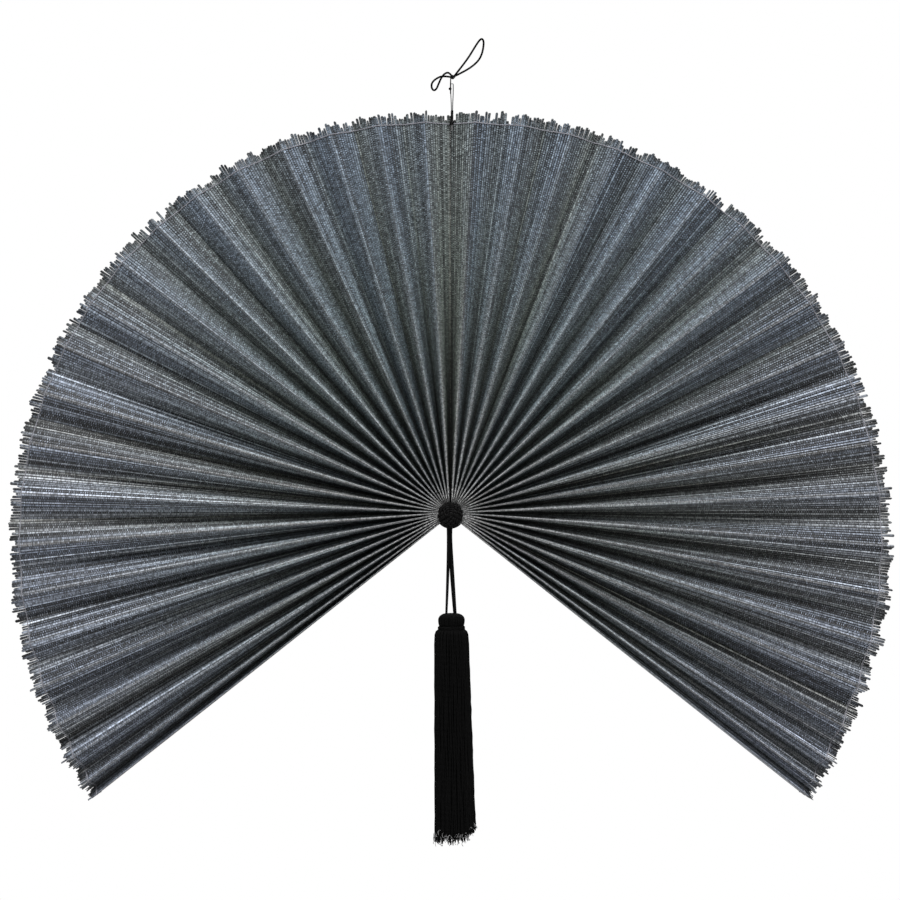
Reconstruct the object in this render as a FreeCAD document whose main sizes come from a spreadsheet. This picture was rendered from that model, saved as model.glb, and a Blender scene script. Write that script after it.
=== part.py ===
import FreeCAD, Part
import math
import os
import Sketcher

# Pleated wall fan: forty-two accordion pleats of woven sliver mat, gathered at a hub.
# Z is up, X to the right, and the front faces -Y. The origin is the hanging eye.
# Every fold line runs from the small hub circle to the rim.

Vector = FreeCAD.Vector
doc = FreeCAD.newDocument("PleatedWallFan")

DIMENSIONS = {
    "hub_x": -1.6,
    "hub_y": -2.6,
    "hub_z": -430.0,
    "panel_width": 27.0,
    "mat_thickness": 0.32,
    "fold_gap": 0.1,
    "hub_circle": 15.0,
    "rim_top": 400.0,
    "rim_growth": 56.0,
    "rim_power": 1.1,
    "outer_spread": 140.0,
    "outer_bend": 12.45,
    "inner_spread": 126.7,
    "middle_half": 0.8,
    "core_radius": 12.0,
    "core_front": -8.0,
    "core_back": 11.0,
    "flange_radius": 14.6,
    "flange_back": 13.2,
    "ring_radius": 13.0,
    "ring_thread": 1.05,
    "front_ring_y": -5.0,
    "back_ring_y": 8.0,
    "pin_radius": 1.5,
    "pin_front": -17.0,
    "pin_back": 14.5,
    "button_radius": 13.0,
    "button_front": -22.5,
    "button_back": -15.0,
    "knot_radius": 6.5,
    "knot_front": 13.4,
    "knot_back": 18.0,
    "wire_radius": 0.5,
    "eye_half": 1.25,
    "stem_half": 0.55,
    "eye_top": 1.3,
    "eye_bottom": -9.0,
    "stem_top": -21.5,
    "stem_foot": -46.0,
    "stitch_top": -37.0,
    "stitch_height": 3.0,
    "stitch_depth": 0.9,
    "stitch_right": 1.2,
    "stitch_left": -2.3,
    "stitch_link": -1.5,
    "stitch_back": 3.35,
    "lashing_top": -25.5,
    "lashing_foot": -36.8,
    "lashing_radius": 1.4,
    "bow_cord": 1.0,
    "bow_knot": 2.5,
    "bow_x": 0.8,
    "bow_z": 7.8,
    "tail_cord": 0.55,
    "tassel_strand": 1.6,
    "cap_top": -98.0,
    "cap_radius": 13.2,
    "cap_foot": -110.7,
    "binding_radius": 13.6,
    "binding_foot": -114.5,
    "skirt_neck": 13.8,
    "skirt_shoulder": 16.9,
    "shoulder_z": -117.5,
    "skirt_middle": 18.7,
    "middle_z": -215.0,
    "middle_drift": 1.7,
    "skirt_bottom": 21.1,
    "skirt_foot": -326.0,
    "foot_drift": 4.2,
    "tassel_x": 1.0,
    "tassel_y": -11.6,
}

PLEATS_PER_SIDE = 21
EVEN_FOLDS = 40
SECTIONS = (0.0, 0.45, 0.8, 1.0)
# The steepest pleats, at both ends, are cut into more and flatter stretches.
FINE_SECTIONS = tuple(i / 14 for i in range(15))
FINE_FROM = 20

sheet = doc.addObject("Spreadsheet::Sheet", "Dims")
for row, (alias, value) in enumerate(DIMENSIONS.items(), start=1):
    sheet.set(f"A{row}", alias)
    sheet.set(f"B{row}", str(value))
    sheet.setAlias(f"B{row}", alias)
doc.recompute()


def dim(alias):
    return float(sheet.get(alias))


def ref(alias):
    return f"Dims.{alias}"


# ---------------------------------------------------------------- fold lines


def outer_angle(fold):
    """Angle from straight up at the rim, in degrees; folds are even at the top and close up at the end."""
    share = fold / EVEN_FOLDS
    return dim("outer_spread") * share - dim("outer_bend") * share**8


def inner_angle(fold):
    return dim("inner_spread") * fold / EVEN_FOLDS


def fold_point(fold, at_rim):
    """Point of a fold line on the hub circle or on the rim, as (x, z) from the hub centre."""
    angle = outer_angle(fold) if at_rim else inner_angle(fold)
    radius = dim("hub_circle")
    if at_rim:
        radius = dim("rim_top") + dim("rim_growth") * (angle / 127.0) ** dim("rim_power")
    a = math.radians(angle)
    return Vector(radius * math.sin(a) + dim("middle_half"), 0, radius * math.cos(a))


def pleat_frame(number):
    """Ridge start, its direction angle, its length and the valley offsets of a right-hand pleat."""
    ridge = 2 * number - 1
    start = fold_point(ridge, False)
    end = fold_point(ridge, True)
    along = (end - start).normalize()
    across = Vector(along.z, 0, -along.x)
    offsets = []
    for fold in (ridge - 1, ridge + 1):
        near = fold_point(fold, False)
        slope = fold_point(fold, True) - near
        for height in (0.0, (end - start).Length):
            reach = (height - (near - start).dot(along)) / slope.dot(along)
            point = near + slope * reach
            offsets.append(abs((point - start).dot(across)))
    angle = math.degrees(math.atan2(along.x, along.z))
    return [start.x, start.z, angle, (end - start).Length] + offsets


# One row per pleat of one side, numbered from the middle; the other side mirrors it.
TABLE_COLUMNS = (
    "start_x", "start_z", "lean", "length",
    "inner_near", "inner_far", "outer_near", "outer_far",
)
table = doc.addObject("Spreadsheet::Sheet", "Folds")
for number in range(1, PLEATS_PER_SIDE + 1):
    for column, (name, value) in enumerate(zip(TABLE_COLUMNS, pleat_frame(number))):
        cell = f"{chr(ord('B') + column)}{number}"
        table.set(cell, f"{value:.5f}")
        table.setAlias(cell, f"{name}_{number:02d}")
doc.recompute()


# ---------------------------------------------------------------- sketch helpers


def new_body(label):
    body = doc.addObject("PartDesign::Body", "Body_" + label)
    body.Label = label
    return body


def origin_plane(body, role):
    for feature in body.Origin.OriginFeatures:
        if feature.Role == role:
            return feature
    raise RuntimeError("no such plane: " + role)


def new_sketch(body, name, role="XY_Plane"):
    sketch = body.newObject("Sketcher::SketchObject", name)
    sketch.AttachmentSupport = (origin_plane(body, role), "")
    sketch.MapMode = "FlatFace"
    return sketch


def add_outline(sketch, corners):
    """Closed polygon; corners are (x, y, x expression, y expression)."""
    count = len(corners)
    for i in range(count):
        x0, y0 = corners[i][:2]
        x1, y1 = corners[(i + 1) % count][:2]
        sketch.addGeometry(Part.LineSegment(Vector(x0, y0, 0), Vector(x1, y1, 0)))
    for i in range(count):
        sketch.addConstraint(
            Sketcher.Constraint("Coincident", i, 2, (i + 1) % count, 1)
        )
    for i, (x, y, x_text, y_text) in enumerate(corners):
        place_constraint(sketch, i, "DistanceX", x, x_text)
        place_constraint(sketch, i, "DistanceY", y, y_text)


def place_constraint(sketch, line, kind, value, text):
    if abs(value) < 1e-9:
        axis = -2 if kind == "DistanceX" else -1
        sketch.addConstraint(Sketcher.Constraint("PointOnObject", line, 1, axis))
        return
    index = sketch.addConstraint(Sketcher.Constraint(kind, -1, 1, line, 1, value))
    sketch.setExpression(f"Constraints[{index}]", text)


def place_at_hub(item, more_x="", more_z=""):
    item.setExpression("Placement.Base.x", ref("hub_x") + more_x)
    item.setExpression("Placement.Base.y", ref("hub_y"))
    item.setExpression("Placement.Base.z", ref("hub_z") + more_z)


# ---------------------------------------------------------------- pleats


def chevron_corners(number, side, share):
    """Cross-section of one pleat: two thin panels that meet at the front ridge."""
    width, thin, gap = dim("panel_width"), dim("mat_thickness"), dim("fold_gap")
    near_far = {}
    texts = {}
    for edge in ("inner", "outer"):
        near = float(table.get(f"{edge}_near_{number:02d}"))
        far = float(table.get(f"{edge}_far_{number:02d}"))
        near_far[edge] = near + (far - near) * share
        name = f"Folds.{edge}_near_{number:02d}"
        texts[edge] = f"({name} + (Folds.{edge}_far_{number:02d} - {name}) * {share})"
    mean = (near_far["inner"] + near_far["outer"]) / 2
    mean_text = f"(({texts['inner']} + {texts['outer']}) / 2)"
    panel = ref("panel_width")

    def depth(half):
        return math.sqrt(width**2 - half**2) / 2

    def depth_text(half):
        return f"sqrt({panel}^2 - {half}^2) / 2"

    front, front_text = depth(mean), depth_text(mean_text)
    fold = thin * width / mean
    fold_text = f"{ref('mat_thickness')} * {panel} / {mean_text}"
    corners = [(0.0, -front, "0", f"-{front_text}")]
    flanks = []
    for edge, sign in (("outer", side), ("inner", -side)):
        half, half_text = near_far[edge], texts[edge]
        back, back_text = depth(half), depth_text(half_text)
        tip = half - gap
        lip = tip - thin * width / (2 * back)
        mark = "" if sign > 0 else "-"
        tip_text = f"({half_text} - {ref('fold_gap')})"
        lip_text = (
            f"({half_text} - {ref('fold_gap')}"
            f" - {ref('mat_thickness')} * {panel} / (2 * {back_text}))"
        )
        flanks.append(
            [
                (sign * tip, back, mark + tip_text, back_text),
                (sign * lip, back, mark + lip_text, back_text),
            ]
        )
    corners += flanks[0]
    corners.append((0.0, -front + fold, "0", f"-{front_text} + {fold_text}"))
    corners += flanks[1][::-1]
    return corners


def loft_body(label, sections):
    """Ruled loft through (height expression, corners) sections stacked along local Z."""
    body = new_body(label)
    sketches = []
    for i, (height_text, corners) in enumerate(sections):
        sketch = new_sketch(body, f"Section_{label}_{i}")
        sketch.setExpression("AttachmentOffset.Base.z", height_text)
        add_outline(sketch, corners)
        sketches.append(sketch)
    loft = body.newObject("PartDesign::AdditiveLoft", "Loft_" + label)
    loft.Profile = sketches[0]
    loft.Sections = sketches[1:]
    loft.Ruled = True
    body.Tip = loft
    return body


def round_loft(label, sections):
    """Ruled loft through circles stacked along Z; each may drift sideways along X."""
    body = new_body(label)
    sketches = []
    for i, (height, radius, drift) in enumerate(sections):
        sketch = new_sketch(body, f"Circle_{label}_{i}")
        sketch.setExpression("AttachmentOffset.Base.z", ref(height))
        if drift:
            sketch.setExpression("AttachmentOffset.Base.x", ref(drift))
        sketch.addGeometry(Part.Circle(Vector(), Vector(0, 0, 1), dim(radius)))
        sketch.addConstraint(Sketcher.Constraint("Coincident", 0, 3, -1, 1))
        index = sketch.addConstraint(Sketcher.Constraint("Radius", 0, dim(radius)))
        sketch.setExpression(f"Constraints[{index}]", ref(radius))
        sketches.append(sketch)
    loft = body.newObject("PartDesign::AdditiveLoft", "Loft_" + label)
    loft.Profile = sketches[0]
    loft.Sections = sketches[1:]
    loft.Ruled = True
    body.Tip = loft
    return body


def build_pleat(label, number, side):
    tag = f"{number:02d}"
    shares = SECTIONS if number < FINE_FROM else FINE_SECTIONS
    sections = [
        (f"Folds.length_{tag} * {share}", chevron_corners(number, side, share))
        for share in shares
    ]
    body = loft_body(label, sections)
    mark = "" if side > 0 else "-"
    body.Placement = FreeCAD.Placement(Vector(), FreeCAD.Rotation(Vector(0, 1, 0), 1.0))
    body.setExpression("Placement.Rotation.Angle", f"{mark}Folds.lean_{tag}")
    place_at_hub(body, f" + {side} * Folds.start_x_{tag}", f" + Folds.start_z_{tag}")
    return body


def build_middle_fold():
    """Narrow strip of mat at the back of the middle valley, straight up from the hub."""
    thin, half = "Dims.middle_half - Dims.fold_gap", "(Dims.rim_top * {0} + 14.0 * (1 - {0})) * 0.0611"
    sections = []
    for share in (0.0, 0.45, 0.8, 1.0):
        reach = (dim("rim_top") * share + 14.0 * (1 - share)) * 0.0611
        back = math.sqrt(dim("panel_width") ** 2 - reach**2) / 2
        back_text = f"sqrt(Dims.panel_width^2 - ({half.format(share)})^2) / 2"
        wide = dim("middle_half") - dim("fold_gap")
        low_text = f"{back_text} - 2 * Dims.mat_thickness"
        low = back - 2 * dim("mat_thickness")
        corners = [
            (-wide, low, f"-({thin})", low_text),
            (wide, low, thin, low_text),
            (wide, back, thin, back_text),
            (-wide, back, f"-({thin})", back_text),
        ]
        height = f"14.0 + (Dims.rim_top - 14.0) * {share}"
        sections.append((height, corners))
    body = loft_body("middle_fold", sections)
    place_at_hub(body)
    return body


# ---------------------------------------------------------------- turned and plain pieces


def corner(x, y):
    """Sketch corner whose two distances are aliases or plain numbers."""
    values = [dim(v) if isinstance(v, str) else v for v in (x, y)]
    texts = [ref(v) if isinstance(v, str) else str(v) for v in (x, y)]
    return (values[0], values[1], texts[0], texts[1])


def turned_body(label, profile, role):
    """Full revolution of a closed profile about the sketch's vertical axis."""
    body = new_body(label)
    sketch = new_sketch(body, "Profile_" + label, role)
    add_outline(sketch, [corner(*point) for point in profile])
    turn = body.newObject("PartDesign::Revolution", "Turn_" + label)
    turn.Profile = sketch
    turn.ReferenceAxis = (sketch, ["V_Axis"])
    turn.Angle = 360.0
    body.Tip = turn
    return body


def build_hub():
    core = turned_body(
        "hub_core",
        [
            (1.6, "core_front"),
            ("core_radius", "core_front"),
            ("core_radius", "core_back"),
            ("flange_radius", "core_back"),
            ("flange_radius", "flange_back"),
            (1.6, "flange_back"),
        ],
        "XY_Plane",
    )
    pin = turned_body(
        "pivot_cord",
        [
            (0, "pin_front"),
            ("pin_radius", "pin_front"),
            ("pin_radius", "pin_back"),
            (0, "pin_back"),
        ],
        "XY_Plane",
    )
    button = turned_body(
        "front_button",
        [
            (0, "button_back"),
            (11.8, "button_back"),
            ("button_radius", -16.4),
            ("button_radius", -20.6),
            (11.2, "button_front"),
            (0, "button_front"),
        ],
        "XY_Plane",
    )
    knot = turned_body(
        "back_knot",
        [
            (0, "knot_front"),
            (5.6, "knot_front"),
            ("knot_radius", 14.6),
            ("knot_radius", 16.6),
            (4.8, "knot_back"),
            (0, "knot_back"),
        ],
        "XY_Plane",
    )
    for body in (core, pin, button, knot):
        place_at_hub(body)
    pieces = [core, pin, button, knot]
    for label, height in (
        ("gather_cord_front", "front_ring_y"),
        ("gather_cord_back", "back_ring_y"),
    ):
        ring = doc.addObject("Part::Torus", "Ring_" + label)
        ring.Label = label
        ring.setExpression("Radius1", ref("ring_radius"))
        ring.setExpression("Radius2", ref("ring_thread"))
        ring.Placement = FreeCAD.Placement(
            Vector(), FreeCAD.Rotation(Vector(1, 0, 0), 90)
        )
        place_at_hub(ring)
        ring.setExpression("Placement.Base.y", f"{ref('hub_y')} + {ref(height)}")
        pieces.append(ring)
    return pieces


def build_stitch():
    """Thread stitch that binds the wire stem to the strip behind it."""
    body = new_body("hanger_stitch")
    sketch = new_sketch(body, "Outline_hanger_stitch")
    depth = dim("stitch_depth")
    front = (-depth, "-" + ref("stitch_depth"))
    back = (depth, ref("stitch_depth"))
    outline = [
        ("stitch_right", front),
        ("stitch_right", back),
        ("stitch_link", back),
        ("stitch_link", (dim("stitch_back"), ref("stitch_back"))),
        ("stitch_left", (dim("stitch_back"), ref("stitch_back"))),
        ("stitch_left", front),
    ]
    corners = [(dim(x), y, ref(x), y_text) for x, (y, y_text) in outline]
    add_outline(sketch, corners)
    pad = body.newObject("PartDesign::Pad", "Pad_hanger_stitch")
    pad.Profile = sketch
    pad.setExpression("Length", ref("stitch_height"))
    body.Tip = pad
    body.setExpression("Placement.Base.z", f"{ref('stitch_top')} - {ref('stitch_height')}")
    return [body]


def build_lashing():
    """Thread wound round both legs of the wire above the stitch."""
    body = turned_body(
        "stem_lashing",
        [
            (1.0, "lashing_top"),
            ("lashing_radius", "lashing_top"),
            ("lashing_radius", "lashing_foot"),
            (1.0, "lashing_foot"),
        ],
        "XZ_Plane",
    )
    return [body]


def build_tassel():
    """Cap, neck binding and skirt, all turned about the tassel's own upright axis."""
    cap = turned_body(
        "tassel_head",
        [
            (0, "cap_top"),
            (11.0, "cap_top"),
            ("cap_radius", -100.2),
            ("cap_radius", "cap_foot"),
            (0, "cap_foot"),
        ],
        "XZ_Plane",
    )
    binding = turned_body(
        "tassel_binding",
        [
            (0, "cap_foot"),
            ("binding_radius", "cap_foot"),
            ("binding_radius", "binding_foot"),
            (0, "binding_foot"),
        ],
        "XZ_Plane",
    )
    skirt = round_loft(
        "tassel_skirt",
        [
            ("binding_foot", "skirt_neck", None),
            ("shoulder_z", "skirt_shoulder", None),
            ("middle_z", "skirt_middle", "middle_drift"),
            ("skirt_foot", "skirt_bottom", "foot_drift"),
        ],
    )
    pieces = [cap, binding, skirt]
    for body in pieces:
        place_at_hub(body, f" + {ref('tassel_x')}")
        body.setExpression("Placement.Base.y", f"{ref('hub_y')} + {ref('tassel_y')}")
    return pieces


# ---------------------------------------------------------------- cords and wire


def rounded_path(points):
    """Straight runs joined by tangent arcs, each as large as its two runs allow."""
    edges, radii = [], []
    start = points[0]
    for before, at, after in zip(points, points[1:], points[2:]):
        back = (before - at).normalize()
        ahead = (after - at).normalize()
        turn = math.pi - back.getAngle(ahead)
        reach = 0.45 * min((before - at).Length, (after - at).Length)
        radius = reach / math.tan(turn / 2)
        middle = (back + ahead).normalize()
        centre = at + middle * (radius / math.cos(turn / 2))
        enter, leave = at + back * reach, at + ahead * reach
        edges.append(Part.LineSegment(start, enter).toShape())
        edges.append(Part.Arc(enter, centre - middle * radius, leave).toShape())
        radii.append(round(radius, 2))
        start = leave
    edges.append(Part.LineSegment(start, points[-1]).toShape())
    return Part.Wire(edges), radii


def build_tube(label, points, radius, shift=Vector()):
    """Round tube along the route; the shift moves the whole piece to its place."""
    path, radii = rounded_path([Vector(*p) for p in points])
    first = Vector(*points[0])
    towards = Vector(*points[1]) - first
    profile = Part.Wire([Part.Circle(first, towards, radius).toShape()])
    solid = path.makePipeShell([profile], True, False)
    expected = math.pi * radius**2 * path.Length
    if abs(solid.Volume / expected - 1) > 0.01:
        raise RuntimeError(f"{label}: tube volume {solid.Volume:.1f}, expected {expected:.1f}")
    print(label, "length", round(path.Length, 1), "diameter", 2 * radius, "radii", radii)
    item = doc.addObject("Part::Feature", "Tube_" + label)
    item.Label = label
    item.Shape = solid
    item.Placement = FreeCAD.Placement(shift, FreeCAD.Rotation())
    return item


def build_wire():
    half, stem, top = dim("eye_half"), dim("stem_half"), dim("eye_top")
    left = [
        (-stem, 0, dim("stem_foot")),
        (-stem, 0, dim("stem_top")),
        (-half, 0, dim("eye_bottom")),
        (-half, 0, top),
    ]
    right = [(-x, y, z) for x, y, z in left[::-1]]
    return [build_tube("hanger_wire", left + right, dim("wire_radius"))]


# Routes of the black cord tied to the eye, from the eye's centre.
LONG_LOOP = (
    (2.0, -0.9, 8.4), (14.7, -0.9, 24.2), (23.2, -0.6, 38.3), (27.2, -0.2, 44.4),
    (29.9, 0.1, 46.6), (31.8, 0.3, 44.0), (31.5, 0.5, 38.0), (30.1, 0.7, 31.5),
    (27.1, 0.8, 25.0), (20.3, 0.9, 18.6), (11.1, 1.0, 13.0), (2.4, 1.0, 8.8),
)
SMALL_LOOP = (
    (0.2, -1.0, 8.2), (-2.0, -1.0, 11.3), (-4.8, -1.0, 12.4), (-8.5, -1.1, 10.2),
    (-11.4, -1.1, 5.6), (-13.7, -0.9, 0.2), (-15.6, -0.3, -4.4), (-18.5, 0.2, -5.8),
    (-20.6, 0.6, -2.6), (-20.4, 0.9, 2.2), (-15.9, 1.2, 6.6), (-9.1, 1.2, 9.5),
    (-0.6, 1.0, 7.9),
)
TAIL = ((-1.2, -0.6, 7.2), (-1.5, -0.95, 2.0), (-1.55, -0.95, -3.5), (-1.45, -0.95, -9.0))
# Route of the tassel cord, from the hub's centre: up one strand, over the pin, down the other.
TASSEL_LOOP = (
    (-4.0, -13.3, -98.0), (-2.3, -13.3, -56.0), (-1.8, -13.2, -14.0), (-3.3, -12.4, -4.0),
    (-3.3, -11.9, 3.3), (3.3, -11.3, 3.3), (3.3, -10.8, -4.0), (-0.6, -10.0, -14.0),
    (1.3, -9.9, -56.0), (4.5, -9.9, -98.0),
)


def build_cords():
    knot = doc.addObject("Part::Sphere", "Ball_bow_knot")
    knot.Label = "bow_knot"
    knot.setExpression("Radius", ref("bow_knot"))
    knot.setExpression("Placement.Base.x", ref("bow_x"))
    knot.setExpression("Placement.Base.z", ref("bow_z"))
    hub = Vector(dim("hub_x"), dim("hub_y"), dim("hub_z"))
    return [
        knot,
        build_tube("cord_long_loop", LONG_LOOP, dim("bow_cord")),
        build_tube("cord_small_loop", SMALL_LOOP, dim("bow_cord")),
        build_tube("cord_tail", TAIL, dim("tail_cord")),
        build_tube("tassel_cord", TASSEL_LOOP, dim("tassel_strand"), hub),
    ]


# ---------------------------------------------------------------- build and write


def build_all():
    pieces = []
    for number in range(1, PLEATS_PER_SIDE + 1):
        pieces.append(build_pleat(f"pleat_{22 - number:02d}", number, -1))
        pieces.append(build_pleat(f"pleat_{21 + number:02d}", number, 1))
    pieces.append(build_middle_fold())
    pieces += build_hub()
    pieces += build_stitch()
    pieces += build_lashing()
    pieces += build_tassel()
    pieces += build_wire()
    pieces += build_cords()
    return pieces


def check_and_write(pieces):
    doc.recompute()
    for item in doc.Objects:
        if "Invalid" in item.State or "Error" in item.State:
            raise RuntimeError(f"{item.Name} failed: {item.State}")
    os.makedirs("parts", exist_ok=True)
    for item in pieces:
        shape = item.Shape
        if shape.isNull() or not shape.isValid() or len(shape.Solids) != 1:
            raise RuntimeError(f"{item.Label} has no valid solid")
        shape.exportStep(f"parts/{item.Label}.step")
        print(item.Label, round(shape.Volume, 1), shape.BoundBox)


check_and_write(build_all())
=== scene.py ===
import math
import random

import bpy
import numpy as np
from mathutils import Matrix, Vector


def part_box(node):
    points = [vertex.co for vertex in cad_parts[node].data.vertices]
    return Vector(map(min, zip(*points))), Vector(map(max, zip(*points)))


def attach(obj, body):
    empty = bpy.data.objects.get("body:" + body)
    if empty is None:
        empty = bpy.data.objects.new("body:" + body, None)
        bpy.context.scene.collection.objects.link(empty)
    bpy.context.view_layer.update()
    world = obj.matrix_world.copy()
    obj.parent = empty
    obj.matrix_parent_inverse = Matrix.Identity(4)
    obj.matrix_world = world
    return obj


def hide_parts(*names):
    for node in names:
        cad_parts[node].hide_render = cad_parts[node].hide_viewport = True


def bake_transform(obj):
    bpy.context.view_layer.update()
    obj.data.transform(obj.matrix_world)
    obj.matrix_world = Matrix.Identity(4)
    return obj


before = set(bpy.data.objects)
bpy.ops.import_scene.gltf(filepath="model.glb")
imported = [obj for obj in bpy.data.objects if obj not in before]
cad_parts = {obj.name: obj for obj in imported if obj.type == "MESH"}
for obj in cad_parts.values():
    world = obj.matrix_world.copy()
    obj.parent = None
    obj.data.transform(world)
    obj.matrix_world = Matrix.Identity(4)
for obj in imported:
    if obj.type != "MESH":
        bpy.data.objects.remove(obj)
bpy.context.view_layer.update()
MM = 0.001


# ---- places read from the frame


def middle_of(node):
    low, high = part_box(node)
    return (low + high) / 2


CORE = middle_of("hub_core")
HUB = Vector((CORE.x, (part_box("pleat_21")[0].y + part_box("pleat_21")[1].y) / 2, CORE.z))
HEAD_LOW, HEAD_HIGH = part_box("tassel_head")
NECK_LOW, NECK_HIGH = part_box("tassel_binding")
SKIRT_LOW, SKIRT_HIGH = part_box("tassel_skirt")
TASSEL_X = (HEAD_LOW.x + HEAD_HIGH.x) / 2
TASSEL_Y = (HEAD_LOW.y + HEAD_HIGH.y) / 2


# ---- node helpers


class Graph:
    """Small helper that adds nodes to a tree and links them."""

    def __init__(self, tree):
        self.tree = tree

    def node(self, kind, **values):
        made = self.tree.nodes.new(kind)
        for key, value in values.items():
            setattr(made, key, value)
        return made

    def feed(self, socket, source):
        if isinstance(source, bpy.types.NodeSocket):
            self.tree.links.new(source, socket)
        else:
            socket.default_value = source

    def dress(self, shader, looks):
        for name, source in looks.items():
            self.feed(shader.inputs[name], source)

    def math(self, operation, a, b=0.0, c=0.0, clamp=False):
        made = self.node("ShaderNodeMath", operation=operation, use_clamp=clamp)
        for socket, source in zip(made.inputs, (a, b, c)):
            self.feed(socket, source)
        return made.outputs[0]

    def times(self, a, b, clamp=False):
        return self.math("MULTIPLY", a, b, clamp=clamp)

    def plus(self, a, b):
        return self.math("ADD", a, b)

    def minus(self, a, b, clamp=False):
        return self.math("SUBTRACT", a, b, clamp=clamp)

    def slope(self, value, factor, start, clamp=False):
        """Straight line: start + factor * value."""
        return self.math("MULTIPLY_ADD", value, factor, start, clamp)

    def mix(self, factor, a, b, blend="MIX"):
        made = self.node("ShaderNodeMix", data_type="RGBA", blend_type=blend)
        self.feed(made.inputs[0], factor)
        self.feed(made.inputs[6], a)
        self.feed(made.inputs[7], b)
        return made.outputs[2]

    def tinted(self, colour, tint):
        return self.mix(1.0, colour, tint, "MULTIPLY")

    def shaded(self, colour, share):
        return self.tinted(colour, self.vector(share, share, share))

    def ramp(self, factor, stops):
        made = self.node("ShaderNodeValToRGB")
        elements = made.color_ramp.elements
        while len(elements) < len(stops):
            elements.new(0.5)
        for element, (place, colour) in zip(elements, stops):
            element.position = place
            element.color = colour
        self.feed(made.inputs[0], factor)
        return made.outputs[0]

    def noise(self, vector, scale, detail=2.0, rough=0.5):
        made = self.node("ShaderNodeTexNoise")
        self.feed(made.inputs["Vector"], vector)
        made.inputs["Scale"].default_value = scale
        made.inputs["Detail"].default_value = detail
        made.inputs["Roughness"].default_value = rough
        return made.outputs["Fac"]

    def grain(self, across, along, across_scale, along_scale, detail, rough=0.5):
        """Noise with one scale across a strand and another along it."""
        place = self.vector(self.times(across, across_scale), self.times(along, along_scale))
        return self.noise(place, 1.0, detail, rough)

    def dice(self, value):
        """Random number between 0 and 1, the same for the same value."""
        made = self.node("ShaderNodeTexWhiteNoise", noise_dimensions="1D")
        self.feed(made.inputs["W"], value)
        return made.outputs["Value"]

    def uv(self, name):
        made = self.node("ShaderNodeUVMap", uv_map=name)
        return self.split(made.outputs[0])[:2]

    def split(self, vector):
        made = self.node("ShaderNodeSeparateXYZ")
        self.feed(made.inputs[0], vector)
        return made.outputs[0], made.outputs[1], made.outputs[2]

    def vector(self, x, y, z=0.0):
        made = self.node("ShaderNodeCombineXYZ")
        for socket, source in zip(made.inputs, (x, y, z)):
            self.feed(socket, source)
        return made.outputs[0]

    def bump(self, height, strength, distance):
        made = self.node("ShaderNodeBump")
        made.inputs["Strength"].default_value = strength
        made.inputs["Distance"].default_value = distance
        self.feed(made.inputs["Height"], height)
        return made.outputs[0]


def new_material(name):
    material = bpy.data.materials.new(name)
    material.use_nodes = True
    return material, Graph(material.node_tree), material.node_tree.nodes["Principled BSDF"]


def new_object(name, data):
    item = bpy.data.objects.new(name, data)
    bpy.context.scene.collection.objects.link(item)
    return item


def grey(value, blue=1.0, red=1.0):
    return (value * red, value, value * blue, 1.0)


# ---- materials

ROW_PITCH = 2.3  # mm from one weft thread to the next
SHADE_REACH = 270.0  # mm from the hub over which the painted shade of the valleys grows lighter
# tones of single slivers, and of the thread
DYE_STOPS = [
    (0.0, grey(0.01, 1.26, 0.85)), (0.22, grey(0.025, 1.26, 0.85)), (0.34, grey(0.09, 1.26, 0.85)),
    (0.6, grey(0.15, 1.26, 0.85)), (0.76, grey(0.22, 1.2, 0.88)), (0.88, grey(0.33, 1.2, 0.88)),
    (1.0, grey(0.42, 1.18, 0.89)),
]
THREAD_STOPS = [(0.3, grey(0.18, 1.3, 0.85)), (0.7, grey(0.36, 1.26, 0.86))]
OLIVE = (1.15, 1.04, 0.80, 1.0)


def fan_place(g, across):
    """Panel number, and two shares that are 1 low at a side of the fan and 1 at its middle.

    Panels are numbered outwards from the middle, four numbers to a fold piece and 100 to a side.
    """
    panel = g.math("FLOOR", g.times(across, 0.01))
    piece = g.times(g.math("MODULO", panel, 100.0), 0.25)
    low_down = g.slope(piece, 0.25, -1.75, clamp=True)
    middle = g.slope(piece, -0.33, 1.0, clamp=True)
    return panel, low_down, middle


def weft_thread(g, across, along, number, edge):
    """Pale thread where it passes over the sliver, on every other row, and a chance for each crossing."""
    wobble = g.grain(across, along, 0.7, 0.03, 1.0)
    parity = g.times(g.math("MODULO", number, 2.0), 0.5)
    row = g.plus(g.slope(along, 1.0 / ROW_PITCH, parity), g.times(wobble, 1.1))
    hump = g.minus(1.0, g.math("ABSOLUTE", g.slope(g.math("FRACT", row), 3.6, -1.0)), clamp=True)
    thread = g.times(hump, g.minus(1.15, g.times(edge, 0.5), clamp=True))
    chance = g.dice(g.plus(g.times(number, 7.31), g.math("FLOOR", row)))
    return thread, chance


def dyed_sliver(g, across, along, number, low_down, fibre):
    """Tone of each sliver, with streaks and single lines that are strongest low at the sides."""
    spread = g.slope(low_down, 0.5, 0.5)
    tone = g.slope(g.minus(g.dice(number), 0.5), spread, 0.5)
    streak = g.grain(across, along, 0.55, 0.006, 2.0, 0.75)
    streak = g.times(g.minus(streak, 0.5), g.slope(low_down, 2.4, 0.6))
    line = g.dice(g.slope(g.math("FLOOR", g.times(across, 3.0)), 3.19, 0.5))
    line = g.times(g.minus(line, 0.5), g.slope(low_down, 1.1, 0.9))
    contrast = g.math("MAXIMUM", g.plus(streak, g.plus(line, 1.0)), 0.12)
    dyed = g.shaded(g.ramp(tone, DYE_STOPS), contrast)
    return g.mix(g.slope(fibre, 1.8, -0.5, clamp=True), g.tinted(dyed, grey(0.42)), dyed)


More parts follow.
